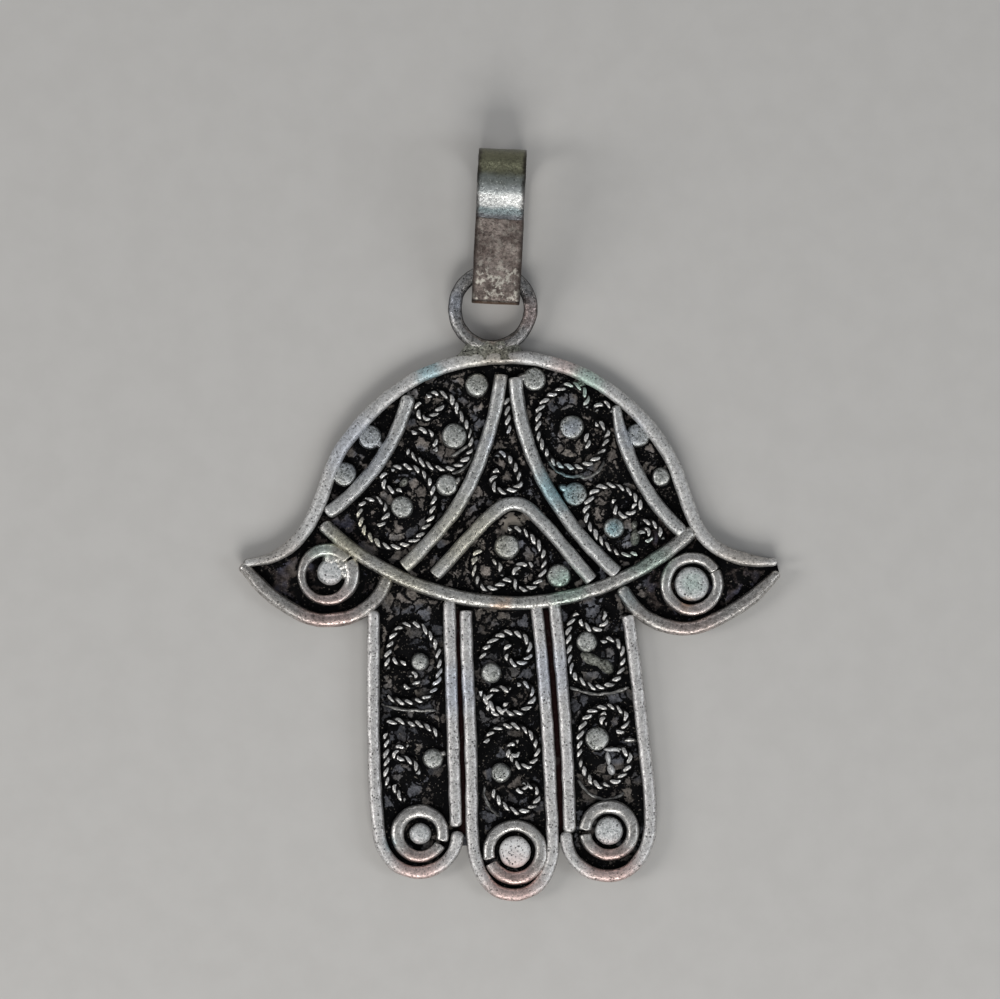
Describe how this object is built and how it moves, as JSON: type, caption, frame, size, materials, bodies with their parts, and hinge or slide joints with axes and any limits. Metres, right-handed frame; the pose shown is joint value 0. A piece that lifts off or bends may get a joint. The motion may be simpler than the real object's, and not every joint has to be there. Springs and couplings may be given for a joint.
{
  "type": "hamsa pendant",
  "caption": "Open-hand pendant of wire, granules and twisted scrolls soldered on a blackened sheet, with a hanging ring and a loose folded-strip bail.",
  "frame": {"origin": "the middle of the pendant's box, on the flat back of the hand's sheet, which it lies on", "axes": "+Z out of the face, away from the flat back; +Y from the finger tips towards the hanging ring and the bail; +X to the right of the face as seen"},
  "size_m": [0.0386, 0.0537, 0.0053],
  "materials": {
    "hand_silver": "oxidised silver, worn bright on the wires and left black in the recesses",
    "bail_silver": "brownish grey oxidised silver strip with fine scratches and pits",
    "blackened_sheet": "black, flaky sulphide tarnish with worn brown-grey patches",
    "granule_silver": "slumped beads, pitted, greenish grey with worn tops",
    "scroll_silver": "fine twisted wire, dark between the strands",
    "solder_silver": "matt grey solder with pits"
  },
  "bodies": {
    "hand": {"hamsa": "hand_silver"},
    "bail": {"bail": "bail_silver"}
  },
  "joints": [
    {"name": "bail_swing", "type": "hinge", "parent": "hand", "child": "bail", "pos_m": [-0.00111, 0.01788, 0.0017], "axis": [0.9976, -0.0698, 0], "range_deg": [-135, 135]}
  ]
}
